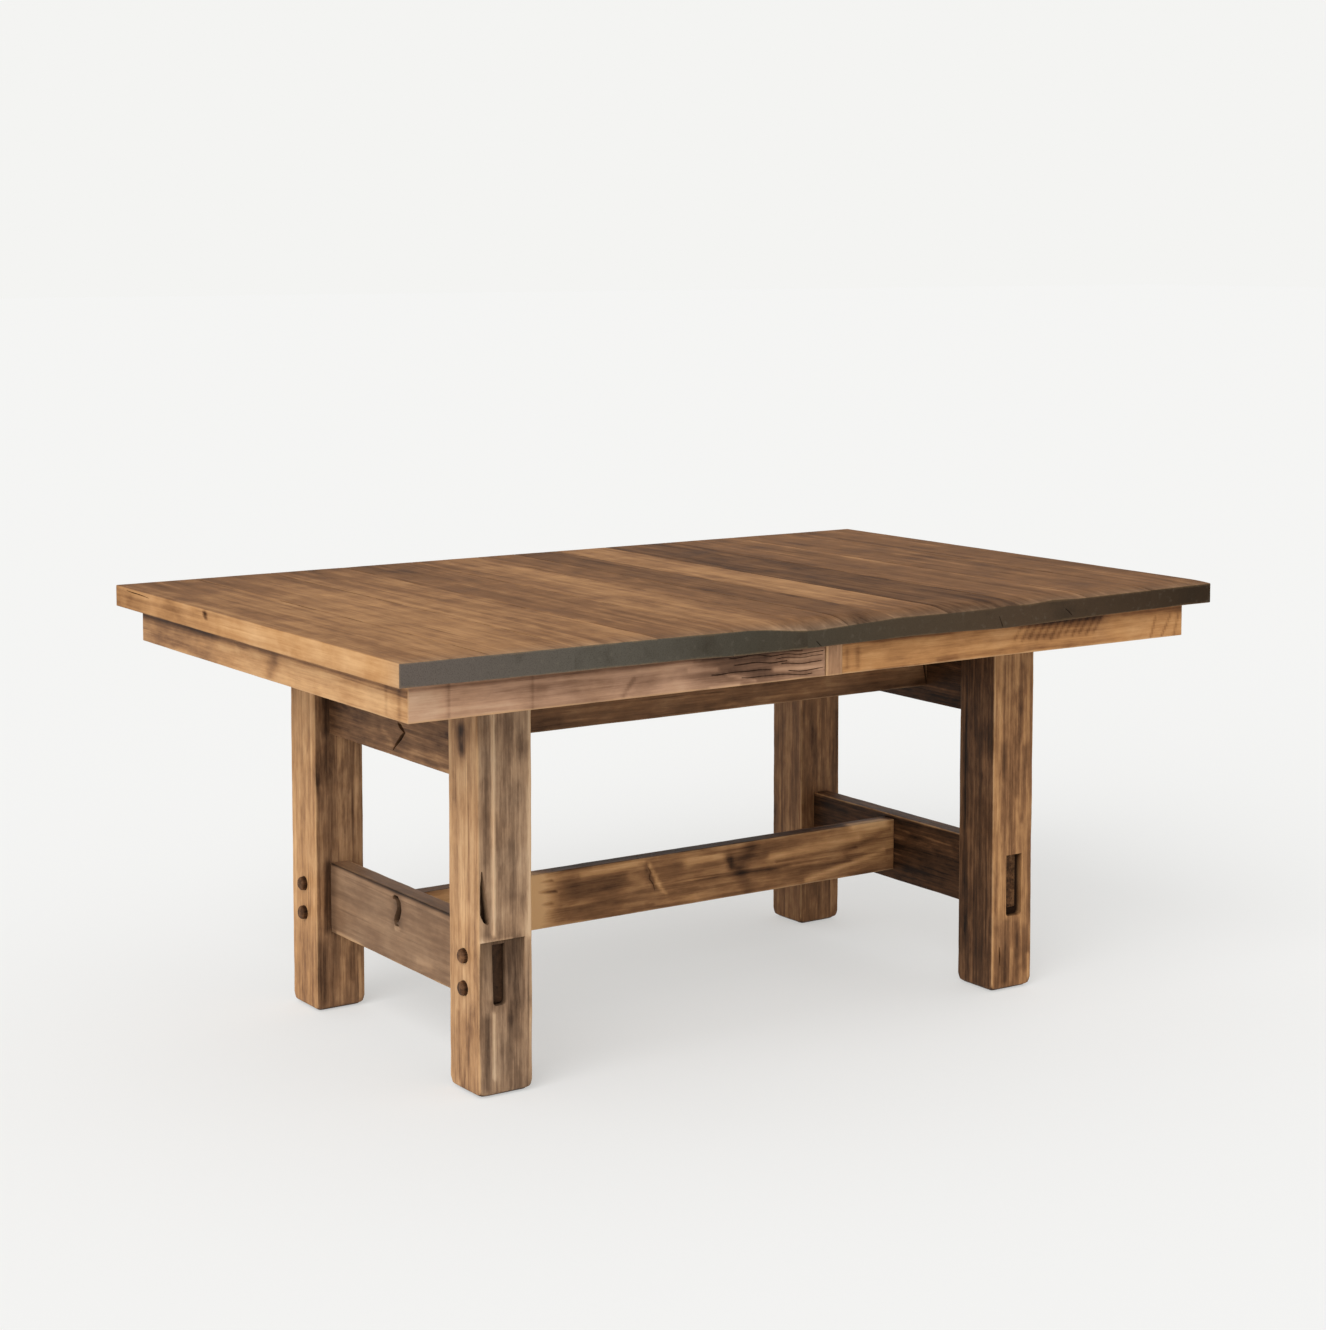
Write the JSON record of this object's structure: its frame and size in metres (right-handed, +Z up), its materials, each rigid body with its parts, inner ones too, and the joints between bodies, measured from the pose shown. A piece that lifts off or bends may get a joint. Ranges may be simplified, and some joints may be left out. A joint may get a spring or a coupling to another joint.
{
  "type": "extension trestle dining table",
  "caption": "Rustic plank-top dining table on a pegged trestle base, whose top parts in the middle on geared wooden slides so that leaves can be laid in.",
  "frame": {"origin": "on the floor, below the middle of the top", "axes": "+X along the table to the right, +Y to the back, +Z up"},
  "size_m": [1.68, 1.08, 0.762],
  "materials": {
    "top_wood": "satin, rustic reclaimed planks in mixed browns",
    "apron_wood": "satin, rustic",
    "leg_wood": "satin, weathered",
    "rail_wood": "satin, weathered dark brown",
    "peg_wood": "dark oiled",
    "slide_wood": "plain planed hardwood",
    "steel": "zinc-plated"
  },
  "bodies": {
    "base": {"leg_front_left": "leg_wood", "leg_back_left": "leg_wood", "leg_front_right": "leg_wood", "leg_back_right": "leg_wood", "end_stretcher_left": "rail_wood", "end_stretcher_right": "rail_wood", "upper_rail_left": "rail_wood", "upper_rail_right": "rail_wood", "centre_stretcher": "rail_wood", "long_rail_front": "rail_wood", "long_rail_back": "rail_wood", "stretcher_pegs": "peg_wood", "slide_beam_front": "slide_wood", "slide_beam_back": "slide_wood", "slide_beam_screws": "steel", "pinion_pins": "steel"},
    "left_top": {"top_board_left_1": "top_wood", "top_board_left_2": "top_wood", "top_board_left_3": "top_wood", "top_board_left_4": "top_wood", "top_board_left_5": "top_wood", "top_board_left_6": "top_wood", "apron_front_left": "apron_wood", "apron_back_left": "apron_wood", "apron_end_left": "apron_wood", "corner_blocks_left": "slide_wood", "slide_runner_front_left": "slide_wood", "slide_runner_back_left": "slide_wood", "rack_front_left": "steel", "rack_back_left": "steel", "runner_screws_left": "steel", "alignment_dowels": "slide_wood", "lock_keepers": "steel"},
    "right_top": {"top_board_right_1": "top_wood", "top_board_right_2": "top_wood", "top_board_right_3": "top_wood", "top_board_right_4": "top_wood", "top_board_right_5": "top_wood", "top_board_right_6": "top_wood", "apron_front_right": "apron_wood", "apron_back_right": "apron_wood", "apron_end_right": "apron_wood", "corner_blocks_right": "slide_wood", "seam_batten_front": "apron_wood", "seam_batten_back": "apron_wood", "slide_runner_front_right": "slide_wood", "slide_runner_back_right": "slide_wood", "rack_front_right": "steel", "rack_back_right": "steel", "runner_screws_right": "steel", "lock_plates": "steel"},
    "pinion_front": {"pinion_front": "steel"},
    "pinion_back": {"pinion_back": "steel"},
    "lock_lever_front": {"lock_lever_front": "steel"},
    "lock_lever_back": {"lock_lever_back": "steel"}
  },
  "joints": [
    {"name": "left_top_slide", "type": "slide", "parent": "base", "child": "left_top", "axis": [-1, 0, 0], "range_m": [0, 0.305]},
    {"name": "right_top_slide", "type": "slide", "parent": "base", "child": "right_top", "axis": [1, 0, 0], "range_m": [0, 0.305]},
    {"name": "pinion_front_turn", "type": "hinge", "parent": "base", "child": "pinion_front", "pos_m": [0, -0.096, 0.67358], "axis": [0, 0, -1], "range_deg": [0, 833.15]},
    {"name": "pinion_back_turn", "type": "hinge", "parent": "base", "child": "pinion_back", "pos_m": [0, 0.096, 0.67358], "axis": [0, 0, 1], "range_deg": [0, 833.15]},
    {"name": "lock_front_turn", "type": "hinge", "parent": "right_top", "child": "lock_lever_front", "pos_m": [0.032, -0.3024, 0.7192], "axis": [0, 0, 1], "range_deg": [0, 80]},
    {"name": "lock_back_turn", "type": "hinge", "parent": "right_top", "child": "lock_lever_back", "pos_m": [0.032, 0.3024, 0.7192], "axis": [0, 0, -1], "range_deg": [0, 80]}
  ],
  "couplings": [
    {"joint": "right_top_slide", "follows": "left_top_slide", "ratio": 1},
    {"joint": "pinion_front_turn", "follows": "left_top_slide", "rad_per_m": 47.619},
    {"joint": "pinion_back_turn", "follows": "left_top_slide", "rad_per_m": 47.619}
  ]
}
